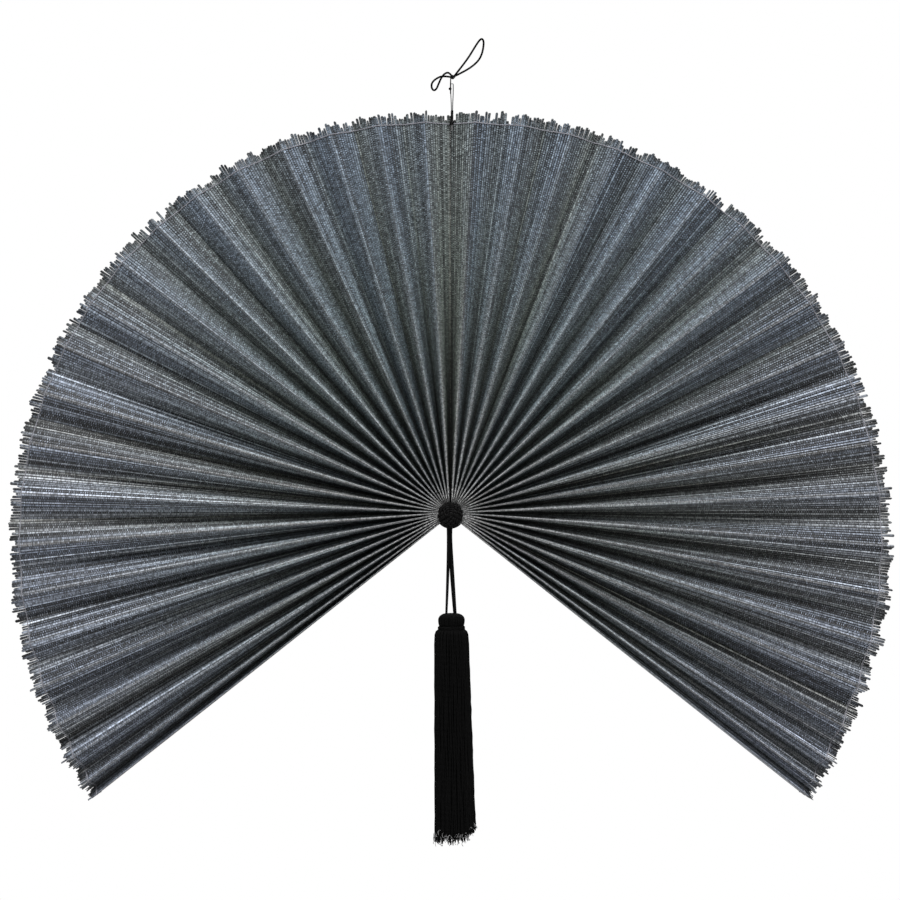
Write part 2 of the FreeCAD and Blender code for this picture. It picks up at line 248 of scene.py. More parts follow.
def painted_valley_shade(g, rise, along, low_down, middle):
    """Painted shade: valleys stay dark near the hub and grow lighter outwards."""
    upper = g.times(g.minus(1.0, low_down), g.minus(1.0, middle))
    depth = g.plus(g.times(middle, -0.6), g.times(upper, 0.18))
    near_hub = g.slope(along, -1.0 / SHADE_REACH, 1.25, clamp=True)
    deep = g.times(g.minus(1.0, rise), g.times(depth, near_hub))
    climb = g.times(rise, g.slope(upper, -0.1, 0.55))
    share = g.math("ADD", climb, g.slope(along, 1.0 / SHADE_REACH, deep), clamp=True)
    return g.slope(g.math("POWER", share, 1.4), 0.86, 0.14)


def green_tint(g, along, low_down):
    """Greener towards the hub and in the upper pleats."""
    outer = g.slope(along, 1.0 / 200.0, -0.9, clamp=True)
    red = g.plus(g.slope(low_down, 0.08, 0.91), g.times(outer, 0.03))
    return g.vector(red, 1.01, g.slope(outer, 0.12, 0.90))


def grit(g, panel, rise, along, edge):
    """Speckle that keeps one size on the open face of the mat, however steeply the panel stands there."""
    column = g.math("FLOOR", g.times(g.times(rise, along), 0.07))
    cell = g.math("FLOOR", g.slope(along, 0.95, g.dice(column)))
    speck = g.dice(g.plus(g.slope(column, 17.3, cell), g.times(panel, 311.7)))
    darker_edge = g.minus(1.12, g.times(g.math("POWER", edge, 3.0), 0.75))
    return g.times(g.slope(speck, 1.3, 0.35), darker_edge)


def sliver_material():
    """Dyed sliver woven with pale thread.

    UV "Weave" is (sliver number + place across, mm from the hub); the second UV layer is (rubbed bare plus
    painted highlight, cut rim end plus painted shade band);
    UV "Fold" is (0 in a valley to 1 on a ridge, dye lot of the panel).
    """
    material, g, shader = new_material("sliver_mat")
    across, along = g.uv("Weave")
    wear_and_light, fray_and_shade = g.uv("WearAndPaintedLight")
    rise, lot = g.uv("Fold")
    number = g.math("FLOOR", across)
    edge = g.math("ABSOLUTE", g.slope(g.math("FRACT", across), 2.0, -1.0))
    fibre = g.grain(across, along, 9.0, 0.035, 3.0, 0.6)
    panel, low_down, middle = fan_place(g, across)

    thread, chance = weft_thread(g, across, along, number, edge)
    pale = g.ramp(g.grain(across, along, 2.2, 0.9, 1.0), THREAD_STOPS)
    cover = g.times(thread, g.slope(chance, 0.95, 0.05))
    cover = g.times(cover, g.minus(1.0, fray_and_shade, clamp=True), clamp=True)
    colour = g.mix(cover, dyed_sliver(g, across, along, number, low_down, fibre), pale)
    # olive in the valleys as painted shade against the blue of the ridges, and olive in some dye lots
    olive_shade_and_lot = g.slope(rise, -0.9, g.slope(lot, 0.9, 0.3), clamp=True)
    colour = g.mix(g.times(olive_shade_and_lot, 0.9), colour, g.tinted(colour, OLIVE))
    # painted shade in the valleys, darkest near the hub and at the middle of the fan
    colour = g.shaded(colour, painted_valley_shade(g, rise, along, low_down, middle))
    colour = g.tinted(colour, green_tint(g, along, low_down))
    # pale where the dye is rubbed off and as painted highlight on the ridges; palest at the middle of the
    # fan, as painted light where the top of the fan lies in shade
    rub_and_light_grey = g.slope(middle, 0.48, 0.5)
    rub_and_light = g.times(wear_and_light, g.slope(fibre, 1.3, 0.0), clamp=True)
    colour = g.mix(rub_and_light, colour, g.vector(rub_and_light_grey, rub_and_light_grey, rub_and_light_grey))
    # the cut rim ends are darker, each by its own amount; the same channel also paints a shade band on the
    # outermost panel
    cut = g.slope(g.dice(g.plus(number, 0.37)), 0.65, 0.2)
    colour = g.shaded(colour, g.minus(1.0, g.times(fray_and_shade, cut)))
    colour = g.shaded(colour, grit(g, panel, rise, along, edge))

    round_back = g.minus(1.0, g.times(edge, edge))
    height = g.plus(g.times(thread, 0.5), g.slope(fibre, 0.5, round_back))
    g.dress(shader, {
        "Base Color": colour, "Roughness": g.slope(fibre, 0.25, 0.42), "Specular IOR Level": 0.4,
        "Normal": g.bump(height, 0.6, 0.0005),
    })
    return material


def yarn_material(name, base, light, rough=0.85, sheen=0.25, twist=0.0, groove_shade=0.75, gloss=0.05):
    """Twisted fibre with fine strands. UV "Strand" is (strand number + place round, mm along)."""
    material, g, shader = new_material(name)
    around, along = g.uv("Strand")
    number = g.math("FLOOR", around)
    ply = g.plus(g.times(around, 3.0), g.times(along, twist))
    groove = g.math("ABSOLUTE", g.math("SINE", g.times(ply, math.pi)))
    fibre = g.grain(around, along, 14.0, 0.12, 3.0, 0.65)
    body = g.mix(g.slope(fibre, 1.5, -0.4, clamp=True), base, light)
    body = g.mix(g.times(g.dice(number), 0.5), body, base)
    # painted shade in the grooves between the plies
    body = g.mix(g.minus(groove_shade, groove, clamp=True), body, grey(0.002))
    height = g.plus(groove, g.times(fibre, 0.6))
    g.dress(shader, {
        "Base Color": body, "Roughness": g.slope(fibre, 0.2, rough - 0.1), "Specular IOR Level": gloss,
        "Sheen Weight": sheen, "Sheen Roughness": 0.5, "Normal": g.bump(height, 0.6, 0.0004),
    })
    return material


def cord_material():
    """Waxed black cord, with a fine fibre that follows the object's own space."""
    material, g, shader = new_material("waxed_cord")
    place = g.node("ShaderNodeTexCoord").outputs["Object"]
    fibre = g.noise(place, 2600.0, 3.0, 0.6)
    wide = g.noise(place, 500.0, 2.0, 0.5)
    g.dress(shader, {
        "Base Color": g.mix(fibre, grey(0.001), grey(0.006)), "Roughness": g.slope(wide, 0.3, 0.35),
        "Specular IOR Level": 0.02, "Normal": g.bump(fibre, 0.4, 0.0002),
    })
    return material


def steel_material():
    """Dull drawn wire with fine lengthwise scratches and darker stains."""
    material, g, shader = new_material("drawn_wire")
    place = g.node("ShaderNodeTexCoord").outputs["Object"]
    x, _, z = g.split(place)
    streak = g.grain(x, z, 9000.0, 160.0, 2.0)
    stain = g.noise(place, 140.0, 3.0, 0.6)
    g.dress(shader, {
        "Base Color": g.mix(stain, grey(0.12), grey(0.30, 1.02)), "Roughness": g.slope(streak, 0.3, 0.3),
        "Metallic": 0.85, "Normal": g.bump(streak, 0.25, 0.0001),
    })
    return material


def backing_material():
    """Dull dark sheet seen in the gaps between slivers."""
    material, g, shader = new_material("weft_backing")
    fine = g.noise(g.node("ShaderNodeTexCoord").outputs["Object"], 900.0)
    g.dress(shader, {
        "Base Color": g.mix(fine, grey(0.015), grey(0.06)), "Roughness": 0.9,
        "Normal": g.bump(fine, 0.5, 0.0003),
    })
    return material


SLIVER = sliver_material()
WEFT = backing_material()
BORDER = yarn_material(
    "pale_thread", grey(0.2, 1.14), grey(0.36, 1.1),
    rough=0.8, sheen=0.1, twist=0.25, groove_shade=0.15, gloss=0.3,
)
YARN = yarn_material("tassel_yarn", grey(0.001), grey(0.004), sheen=0.0, twist=0.18)
YARN_TIP = yarn_material("tassel_yarn_tips", grey(0.10), grey(0.55, 1.02), rough=0.8, sheen=0.2, twist=0.18)
KNOT = yarn_material("button_cord", grey(0.001), grey(0.035), rough=0.9, sheen=0.0, twist=0.35, gloss=0.02)
CORD = cord_material()
STEEL = steel_material()


# ---- mesh helper


class MeshData:
    """Collects vertices, faces, up to three UV layers and per-vertex blend weights for one piece."""

    def __init__(self):
        self.points, self.faces, self.slots = [], [], []
        self.first, self.second, self.third, self.weights = [], [], [], []

    def add(self, points, faces, slot, first, second=None, third=None, weights=None):
        base = len(self.points)
        self.points.extend(points)
        self.faces.extend([tuple(base + i for i in face) for face in faces])
        self.slots.extend([slot] * len(faces))
        self.first.extend(first)
        self.second.extend(second or [(0.0, 0.0)] * len(points))
        self.third.extend(third or [(0.5, 0.5)] * len(points))
        self.weights.extend(weights or [0.0] * len(points))

    def build(self, name, materials, layers):
        mesh = bpy.data.meshes.new(name)
        mesh.from_pydata([tuple(p) for p in self.points], [], self.faces)
        for material in materials:
            mesh.materials.append(material)
        mesh.polygons.foreach_set("material_index", self.slots)
        mesh.polygons.foreach_set("use_smooth", [True] * len(self.faces))
        corner = np.zeros(len(mesh.loops), dtype=np.int32)
        mesh.loops.foreach_get("vertex_index", corner)
        for layer, values in zip(layers, (self.first, self.second, self.third)):
            uv = mesh.uv_layers.new(name=layer)
            uv.data.foreach_set("uv", np.array(values, float)[corner].ravel())
        mesh.validate()
        mesh.update()
        return new_object(name, mesh)


def strip_faces(stations, ring):
    """Faces of a capped tube with this many stations and points round it."""
    faces = []
    for i in range(stations - 1):
        for j in range(ring):
            k = (j + 1) % ring
            faces.append((i * ring + j, i * ring + k, (i + 1) * ring + k, (i + 1) * ring + j))
    faces.append(tuple(range(ring))[::-1])
    faces.append(tuple((stations - 1) * ring + j for j in range(ring)))
    return faces


def tube_points(path, radii, sides):
    """Rings of points round a path."""
    path = np.asarray(path, float)
    tangents = np.gradient(path, axis=0)
    tangents /= np.linalg.norm(tangents, axis=1)[:, None]
    side = np.cross(tangents[0], (0.0, 1.0, 0.0))
    if np.linalg.norm(side) < 1e-6:
        side = np.cross(tangents[0], (1.0, 0.0, 0.0))
    points = []
    for centre, tangent, radius in zip(path, tangents, np.broadcast_to(radii, len(path))):
        side = side - tangent * np.dot(side, tangent)
        side /= np.linalg.norm(side)
        other = np.cross(tangent, side)
        for j in range(sides):
            a = 2 * math.pi * j / sides
            points.append(centre + side * radius * math.cos(a) + other * radius * math.sin(a))
    return points


def add_tube(data, path, radii, sides, slot, number, weights=None):
    """Adds a capped tube and its strand UVs."""
    path = np.asarray(path, float)
    steps = np.r_[0.0, np.cumsum(np.linalg.norm(np.diff(path, axis=0), axis=1))] / MM
    first = [(number + j / sides, s) for s in steps for j in range(sides)]
    spread = None if weights is None else [w for w in weights for _ in range(sides)]
    data.add(tube_points(path, radii, sides), strip_faces(len(path), sides), slot, first, weights=spread)


def add_lump(data, centre, axes, slot, number, rings=5, sides=8):
    """Closed ellipsoid from three half-axis vectors."""
    centre = np.array(centre)
    ax, ay, az = (np.array(v) for v in axes)
    points, first = [centre + az], [(number, 0.0)]
    for i in range(1, rings):
        a = math.pi * i / rings
        for j in range(sides):
            b = 2 * math.pi * j / sides
            points.append(centre + az * math.cos(a) + (ax * math.cos(b) + ay * math.sin(b)) * math.sin(a))
            first.append((number + j / sides, i * 1.2))
    points.append(centre - az)
    first.append((number, 6.0))
    faces = [(0, 1 + j, 1 + (j + 1) % sides) for j in range(sides)]
    for i in range(rings - 2):
        here, there = 1 + i * sides, 1 + (i + 1) * sides
        for j in range(sides):
            k = (j + 1) % sides
            faces.append((here + j, there + j, there + k, here + k))
    last = len(points) - 1
    base = 1 + (rings - 2) * sides
    faces += [(last, base + (j + 1) % sides, base + j) for j in range(sides)]
    data.add(points, faces, slot, first)


# ---- fold lines of the mat

PLEATS = 21  # on each side
LAST_FOLD = 2 * PLEATS
EVEN_FOLDS = 40  # a fold's number over this is its share of the spread of a side
# width of a panel: beside the hub it stands square to the mat, so it is the depth of the pleat
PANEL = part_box("pleat_21")[1].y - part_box("pleat_21")[0].y
WIDEST = PANEL * 0.97  # largest half pitch, at which the mat is nearly flat
HUB_CIRCLE = 15.0 * MM
SHIFT = 0.8 * MM  # from the middle line to the first fold of a side
SLIVERS = 10  # across a panel
# shares of the length where a sliver has a section, before its two at the rim end
STATIONS = np.array([0.0, 0.035, 0.09, 0.17, 0.27, 0.38, 0.5, 0.61, 0.72, 0.82, 0.91, 0.977])
FRINGE = 9.0 * MM  # from the border threads to the rim
MAT_LAYERS = ("Weave", "WearAndPaintedLight", "Fold")


def outer_angle(share):
    """Direction of a fold's rim end from straight up; the last folds stand closer together."""
    return math.radians(140.0 * share - 12.45 * share**8)


def inner_angle(share):
    """Direction of a fold's near end, on the hub circle."""
    return math.radians(126.7 * share)


def rim_radius(angle):
    """From the hub centre to the rim, longer down the sides."""
    return (400.0 + 56.0 * (math.degrees(angle) / 127.0) ** 1.1) * MM


def fold_ends(index):
    """Near and far point of one right-hand fold line, as (x, z) from the hub centre."""
    share = index / EVEN_FOLDS
    a, b = inner_angle(share), outer_angle(share)
    r = rim_radius(b)
    near = np.array([HUB_CIRCLE * math.sin(a) + SHIFT, HUB_CIRCLE * math.cos(a)])
    far = np.array([r * math.sin(b) + SHIFT, r * math.cos(b)])
    return near, far


FOLDS = [fold_ends(i) for i in range(LAST_FOLD + 1)]


def fold_length(index):
    return np.linalg.norm(FOLDS[index][1] - FOLDS[index][0])


def half_pitch(index, share):
    """Mean spacing from this fold to its neighbours, at a share of the length."""
    share = min(share, 1.0)
    here = FOLDS[index][0] + (FOLDS[index][1] - FOLDS[index][0]) * share
    gaps = []
    for other in (index - 1, index + 1):
        if 0 <= other <= LAST_FOLD:
            near, far = FOLDS[other]
            gaps.append(np.linalg.norm(near + (far - near) * share - here))
    return min(sum(gaps) / len(gaps), WIDEST)


def fold_depth(index, share):
    """How far a fold stands in front of or behind the middle plane of the mat."""
    return math.sqrt(PANEL**2 - half_pitch(index, share) ** 2) / 2


def fold_line(side, index, shares, shake):
    """Points of a fold line in the row frame; odd folds are front ridges, even ones back valleys."""
    near, far = FOLDS[index]
    along = (far - near) / np.linalg.norm(far - near)
    across = np.array([along[1], -along[0]])
    sway, swell = shake[index]
    points = []
    for share in shares:
        flat = near + (far - near) * share + across * sway * max(share, 0.0) ** 1.5
        depth = fold_depth(index, share) * (1 + swell * max(share, 0.0))
        y = -depth if index % 2 else depth
        points.append((HUB.x + side * flat[0], HUB.y + y, HUB.z + flat[1]))
    return np.array(points)


def unit(rows):
    return rows / np.linalg.norm(rows, axis=1)[:, None]


# ---- slivers, backing and border

# corners of a sliver's section as (share of half the width, share of half the thickness)
SECTION = ((-1, 0), (-0.55, 1), (0.55, 1), (1, 0), (0.55, -1), (-0.55, -1))
SECTION_PLACES = (0.02, 0.25, 0.75, 0.98, 0.75, 0.25)
PANEL_NUMBERS = 100  # sliver numbers kept for each panel
BROWN_LOT = 1.3  # dye lot of the panels at the middle valley
CUT_RING = 0.014  # share of the length that shows the cut ends at the hub
RIM_CUT = 0.978  # share of the length where the cut rim ends begin
RUB_AND_HIGHLIGHT_FADE = 3.7  # how fast the rub and painted highlight of a ridge fade along the length
CREST_HIGHLIGHT = 0.65  # painted highlight on the very edge of a ridge at the rim, where the panel points sideways
SLIVER_SLOT, WEFT_SLOT, BORDER_SLOT = 0, 1, 2


class Clump:
    """Neighbouring slivers that share the place of their rim ends."""

    def __init__(self, rng):
        self.left, self.tip, self.slide = 0, 0.0, 0.0
        self.rng = rng

    def step(self):
        rng = self.rng
        if self.left == 0:
            self.left = rng.choice((1, 1, 2))
            self.tip = rng.gauss(0.4, 1.7)
            self.slide = rng.uniform(-0.7, 0.7)
            if rng.random() < 0.13:
                self.tip -= rng.uniform(2.0, 5.0)
        self.left -= 1


class Panel:
    """One panel of the mat between fold low and low + 1: slivers, backing sheet and two border threads."""

    def __init__(self, data, side, low, shake, rng, weights, number):
        self.data, self.side, self.low, self.shake, self.rng = data, side, low, shake, rng
        self.weights, self.number = weights, number
        self.length = fold_length(low)
        self.bow = rng.uniform(-0.55, 0.55) * MM
        lot = rng.random()
        self.lot = BROWN_LOT if low == 0 else lot
        self.ridge_at_low = low % 2 == 1
        # 1 where the panel points sideways, 0 where it points up
        self.sideways = abs(math.sin(outer_angle(min(low / EVEN_FOLDS, 1.0)))) ** 2

    def weight_at(self, u):
        return self.weights[0] + (self.weights[1] - self.weights[0]) * u

    def rise_at(self, u):
        """0 in the valley to 1 on the ridge."""
        return 1 - u if self.ridge_at_low else u

    def frames(self, shares):
        """Both fold lines at these shares of the length, the direction across and the front normal."""
        a = fold_line(self.side, self.low, shares, self.shake)
        b = fold_line(self.side, self.low + 1, shares, self.shake)
        across = unit(b - a)
        along = unit(np.gradient((a + b) / 2, axis=0))
        normal = unit(np.cross(across, along))
        normal[normal[:, 1] > 0] *= -1
        return a, b, across, normal

    def edge_light_and_shade(self, j):
        """The outermost panel has a pale band of painted highlight beside its edge and a dark band of painted
        shade behind that.
        """
        if self.low + 1 != LAST_FOLD:
            return 0.0, 0.0
        if j == SLIVERS - 1:
            return 0.0, 0.75
        if j >= SLIVERS // 2:
            return 0.3, 0.0
        return 0.0, 0.9 if j >= 1 else 0.0

    def sliver_shares(self, rise, clump_tip):
        """Stations of one sliver, with its own cut ends at the hub and at the rim."""
        rng, length = self.rng, self.length
        tip = 1.0 + min(clump_tip + rng.gauss(0.0, 0.9), 5.5) * MM / length
        start = -((5.5 if rise > 0.8 else 0.8) + rng.uniform(-0.6, 0.9)) * MM / length
        shares = np.r_[start, STATIONS[1:], tip - 1.0 * MM / length, tip]
        return np.maximum.accumulate(shares + np.arange(len(shares)) * 1e-6)

    def add_sliver(self, j, clump):
        rng, sideways = self.rng, self.sideways
        u = (j + 0.5) / SLIVERS
        rise = self.rise_at(u)
        clump.step()
        shares = self.sliver_shares(rise, clump.tip)
        a, b, across, normal = self.frames(shares)
        lift = rng.uniform(-0.05, 0.05) * MM
        ripple = 0.04 * MM * np.sin(shares * rng.uniform(9, 15) + rng.uniform(0, 2 * math.pi))
        hump = self.bow * math.sin(math.pi * u) * np.clip(shares, 0, 1)
        centre = a + (b - a) * u + normal * (lift + ripple + hump)[:, None]
        half = np.full(len(shares), PANEL / SLIVERS * 0.49)
        half[-2:] *= rng.uniform(0.8, 1.2)
        half[-1] *= rng.uniform(0.3, 0.85)
        slide = np.zeros(len(shares))
        slide[-1] = (clump.slide + rng.uniform(-0.35, 0.35)) * MM
        slide[-2] = slide[-1] * 0.6
        centre = centre + across * slide[:, None]
        thick = rng.uniform(0.28, 0.46) * MM
        tilt = rng.gauss(0.0, 0.08 + 0.12 * sideways)
        ring = np.stack([
            centre + across * (half * x)[:, None] + normal * (thick * y + tilt * half * x)[:, None]
            for x, y in SECTION
        ], axis=1).reshape(-1, 3)

        # rubbed ridges near the hub, which also stand as painted highlight where the deep grooves leave only
        # the ridges lit
        ridge_rub_and_highlight = (0.85 + 0.2 * sideways) * max(0.0, (rise - 0.5) / 0.5) ** 1.6
        # pale cut ends at the hub, made paler at the top of the fan as painted light where those ends face
        # away from the key light
        cut_end_and_light = rng.uniform(0.3, 1.2) * (2.2 - 1.4 * sideways)
        # painted highlight band and painted shade band of the outermost panel
        painted_light_band, painted_shade_band = self.edge_light_and_shade(j)
        first, second = [], []
        for share in shares:
            rub_and_light = ridge_rub_and_highlight * math.exp(-max(share, 0.0) * RUB_AND_HIGHLIGHT_FADE) + (cut_end_and_light if share < CUT_RING else 0.0)
            along = (HUB_CIRCLE + share * self.length) / MM
            fray_and_shade = 1.0 if share > RIM_CUT else painted_shade_band
            for (x, _), place in zip(SECTION, SECTION_PLACES):
                first.append((self.number * PANEL_NUMBERS + j + place, along))
                # painted highlight along the edge of a ridge
                crest_highlight = 0.0
                if rise > 0.9:
                    crest_highlight = max(0.0, -x if self.ridge_at_low else x) * CREST_HIGHLIGHT * sideways * share
                second.append((rub_and_light + crest_highlight + painted_light_band, fray_and_shade))
        self.data.add(
            list(ring), strip_faces(len(shares), len(SECTION)), SLIVER_SLOT,
            first, second, [(rise, self.lot)] * len(ring), [self.weight_at(u)] * len(ring),
        )

    def add_backing(self):
        """Thin sheet between the slivers, which closes the gaps."""
        a, b, _, normal = self.frames(STATIONS)
        columns = np.linspace(0.0, 1.0, 9)
        wide = len(columns)
        sheet, first, weights = [], [], []
        for share, p, q, n in zip(STATIONS, a, b, normal):
            for u in columns:
                sheet.append(p + (q - p) * u + n * self.bow * math.sin(math.pi * u) * share)
                first.append((u, share * self.length / MM))
                weights.append(self.weight_at(u))
        faces = [
            (i * wide + j, i * wide + j + 1, (i + 1) * wide + j + 1, (i + 1) * wide + j)
            for i in range(len(STATIONS) - 1) for j in range(wide - 1)
        ]
        self.data.add(sheet, faces, WEFT_SLOT, first, weights=weights)

    def add_border(self, back):
        """Pale thread across the slivers near the rim, on the front or the back."""
        rim = 1 - FRINGE / self.length
        a, b, _, normal = self.frames(np.array([rim - 0.001, rim]))
        along = unit((a[1] - a[0])[None])[0]
        path, spread = [], []
        for j in range(SLIVERS * 2 + 1):
            u = j / (SLIVERS * 2)
            out = 0.62 if j % 2 else 0.40
            drop = self.rng.uniform(-0.2, 0.2) * MM
            lift = back * out * MM + self.bow * math.sin(math.pi * u)
            path.append(a[1] + (b[1] - a[1]) * u + normal[1] * lift + along * drop)
            spread.append(self.weight_at(u))
        number = self.number * PANEL_NUMBERS + 50
        add_tube(self.data, path, 0.5 * MM, 5, BORDER_SLOT, number, spread)

    def add_all(self):
        clump = Clump(self.rng)
        for j in range(SLIVERS):
            self.add_sliver(j, clump)
        self.add_backing()
        for back in (1.0, -1.0):
            self.add_border(back)


def pleat_name(side, k):
    """Node of pleat k, counted outwards from the middle."""
    return f"pleat_{PLEATS + k:02d}" if side > 0 else f"pleat_{PLEATS + 1 - k:02d}"


def build_fold_piece(side, k, shake, rng):
    """Mat from ridge k over a valley to ridge k + 1."""
    data = MeshData()
    number = (0 if side > 0 else 100) + 4 * k
    if k > 0:
        Panel(data, side, 2 * k - 1, shake, rng, (0.0, 0.5), number).add_all()
    if k < PLEATS:
        low_weight = 0.5 if k > 0 else 0.0
        Panel(data, side, 2 * k, shake, rng, (low_weight, 1.0), number + 1).add_all()
    tag = "right" if side > 0 else "left"
    piece = data.build(f"mat_{tag}_{k:02d}", (SLIVER, WEFT, BORDER), MAT_LAYERS)
    if k == PLEATS:
        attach(piece, pleat_name(side, PLEATS))
        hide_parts(pleat_name(side, PLEATS))
        return
    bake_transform(piece)
    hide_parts(pleat_name(side, max(k, 1)))


def build_mat():
    rng = random.Random(20)
    shakes = {}
    for side in (-1, 1):
        # sway of each fold line to one side, and swell of its depth
        shakes[side] = [(rng.uniform(-1.0, 1.0) * MM, rng.uniform(-0.05, 0.05)) for _ in range(LAST_FOLD + 1)]
    for side in (-1, 1):
        shakes[side][0] = (0.0, 0.0)
        for k in range(PLEATS + 1):
            build_fold_piece(side, k, shakes[side], rng)


def build_middle_strip():
    """Two slivers that lie flat along the middle valley."""
    data = MeshData()
    rng = random.Random(11)
    length = fold_length(0)
    number = 190 * PANEL_NUMBERS  # past the numbers of all panels
    for j, x in enumerate((-0.45, 0.45)):
        shares = np.r_[-0.004, STATIONS[1:], 0.99, 1.0 + rng.uniform(-2.0, 1.0) * MM / length]
        points, first = [], []
        for share in shares:
            y = fold_depth(0, share) - 0.35 * MM
            z = HUB_CIRCLE + share * length
            for dx, dy in ((-0.5, 0.0), (0.0, -0.3), (0.5, 0.0), (0.0, 0.3)):
                points.append((HUB.x + (x + dx) * MM, HUB.y + y + dy * MM, HUB.z + z))
                first.append((number + j + 0.5 + dx * 0.9, z / MM))
        # a rise of 0.2 keeps the strip in the painted valley shade near the hub
        third = [(0.2, BROWN_LOT)] * len(points)
        data.add(points, strip_faces(len(shares), 4), SLIVER_SLOT, first, third=third)
    piece = data.build("mat_middle_strip", (SLIVER,), MAT_LAYERS)
    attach(piece, "hub")
    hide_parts("middle_fold")


# ---- hub button and knots

# rounds of knots as (share of the radius, knots in the round, share of the depth)
BUTTON_ROUNDS = (
    (0.0, 1, 1.0), (0.17, 6, 0.99), (0.34, 12, 0.95), (0.5, 18, 0.89), (0.66, 24, 0.79), (0.8, 30, 0.62),
    (0.92, 34, 0.34),
)


def finish_cord(data, name, node):
    """Black cord that stays with the hub, in place of one CAD node."""
    piece = data.build(name, (KNOT,), ("Strand",))
    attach(piece, "hub")
    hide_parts(node)


def add_dome(data, centre, radius, back, front):
    """Core that closes the gaps between the knots of the button."""
    rows, sides = 7, 40
    points, first = [], []
    for i in range(rows):
        t = i / (rows - 1)
        r = radius * 0.93 * math.cos(t * math.pi / 2 * 0.98)
        y = back + (front + 2.2 * MM - back) * math.sin(t * math.pi / 2)
        for j in range(sides):
            a = 2 * math.pi * j / sides
            points.append((centre.x + r * math.sin(a), y, centre.z + r * math.cos(a)))
            first.append((500 + j / 4, i * 2.0))
    data.add(points, strip_faces(rows, sides), 0, first)


def build_button():
    """Button worked in rounds of knots over a domed core."""
    low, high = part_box("front_button")
    centre = (low + high) / 2
    radius = (high.x - low.x) / 2
    back, front = high.y, low.y
    data = MeshData()
    rng = random.Random(3)
    number = 0
    for share, count, rise in BUTTON_ROUNDS:
        for i in range(count):
            a = 2 * math.pi * (i + 0.5 * (number % 2)) / count + rng.uniform(-0.04, 0.04)
            r = radius * share * rng.uniform(0.97, 1.02)
            y = back + (front + 1.3 * MM - back) * rise + rng.uniform(-0.2, 0.2) * MM
            at = (centre.x + r * math.sin(a), y, centre.z + r * math.cos(a))
            out = np.array([math.sin(a), 0, math.cos(a)])
            turn = np.array([math.cos(a), 0, -math.sin(a)])
            lean = rng.uniform(0.35, 0.6)
            long = (turn * math.cos(lean) + out * math.sin(lean)) * rng.uniform(1.4, 1.9) * MM
            wide = (out * math.cos(lean) - turn * math.sin(lean)) * rng.uniform(0.9, 1.15) * MM
            add_lump(data, at, (long, np.array([0, -1.2 * MM, 0]), wide), 0, number)
            number += 1
    add_dome(data, centre, radius, back, front)
    finish_cord(data, "knotted_button", "front_button")


def knot_path(centre, steps, mean, swing, deep, wide=1.0, tall=1.0):
    """Overhand knot pulled flat: two turns that cross three times, with sizes in mm."""
    middle_x, middle_y, middle_z = centre
    path = []
    for i in range(steps):
        a = 4 * math.pi * i / (steps - 1)
        r = (mean + swing * math.cos(1.5 * a)) * MM
        y = middle_y + deep * MM * math.sin(1.5 * a)
        path.append((middle_x + r * math.cos(a) * wide, y, middle_z + tall * r * math.sin(a)))
    return path


def build_back_knot():
    """Overhand knot that ends the pin cord behind the hub."""
    centre = middle_of("back_knot")
    data = MeshData()
    add_tube(data, knot_path(centre, 72, 3.6, 1.1, 1.05), 1.15 * MM, 8, 0, 1)
    add_lump(data, centre, ((3.4 * MM, 0, 0), (0, 2.0 * MM, 0), (0, 0, 3.4 * MM)), 0, 9)
    finish_cord(data, "back_knot_wraps", "back_knot")


def build_gather_rings():
    """Two-ply cord drawn through the inner ends of the slivers, front and back."""
    steps, twists = 180, 24
    for node in ("gather_cord_front", "gather_cord_back"):
        low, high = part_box(node)
        centre = (low + high) / 2
        thick = (high.y - low.y) / 2
        ring = (high.x - low.x) / 2 - thick
        data = MeshData()
        for ply in (0, 1):
            path = []
            for i in range(steps + 1):
                a = 2 * math.pi * i / steps
                spin = a * twists + ply * math.pi
                r = ring + thick * 0.45 * math.cos(spin)
                y = centre.y + thick * 0.45 * math.sin(spin)
                path.append((centre.x + r * math.sin(a), y, centre.z + r * math.cos(a)))
            add_tube(data, path, thick * 0.55, 6, 0, ply)
        finish_cord(data, node + "_plies", node)


# ---- tassel


def finish_yarn(data, name, node, materials=(YARN,)):
    """Yarn that swings with the tassel, in place of one CAD node."""
    piece = data.build(name, materials, ("Strand",))
    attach(piece, "tassel")
    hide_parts(node)


def build_tassel_head():
    """Yarn bent over the cord and tied: strands bulge from the top to the neck."""
    data = MeshData()
    rng = random.Random(8)
    top, foot = HEAD_HIGH.z, HEAD_LOW.z
    radius = (HEAD_HIGH.x - HEAD_LOW.x) / 2
    strands, thick = 46, 1.05 * MM
    for i in range(strands):
        a = 2 * math.pi * i / strands + rng.uniform(-0.03, 0.03)
        size = rng.uniform(0.96, 1.01)
        path = []
        for s in np.linspace(0, 1, 11):
            bulge = math.sin(math.pi * (0.06 + 0.80 * s)) ** 0.55
            narrow = 0.16 if s < 0.5 else 0.74  # share of the radius at the top and at the neck
            r = radius * size * (narrow + (1 - narrow) * bulge) - 1.0 * MM
            z = top - 0.9 * MM + (foot - top) * s**1.35
            path.append((TASSEL_X + r * math.sin(a), TASSEL_Y + r * math.cos(a), z))
        add_tube(data, path, thick, 6, 0, i)
    core = [(TASSEL_X, TASSEL_Y, top - 1.6 * MM + (foot - top) * s) for s in np.linspace(0, 1, 9)]
    profile = [radius * k for k in (0.35, 0.72, 0.86, 0.9, 0.9, 0.88, 0.86, 0.82, 0.78)]
    add_tube(data, core, profile, 24, 0, 90)
    finish_yarn(data, "tassel_head_yarn", "tassel_head")


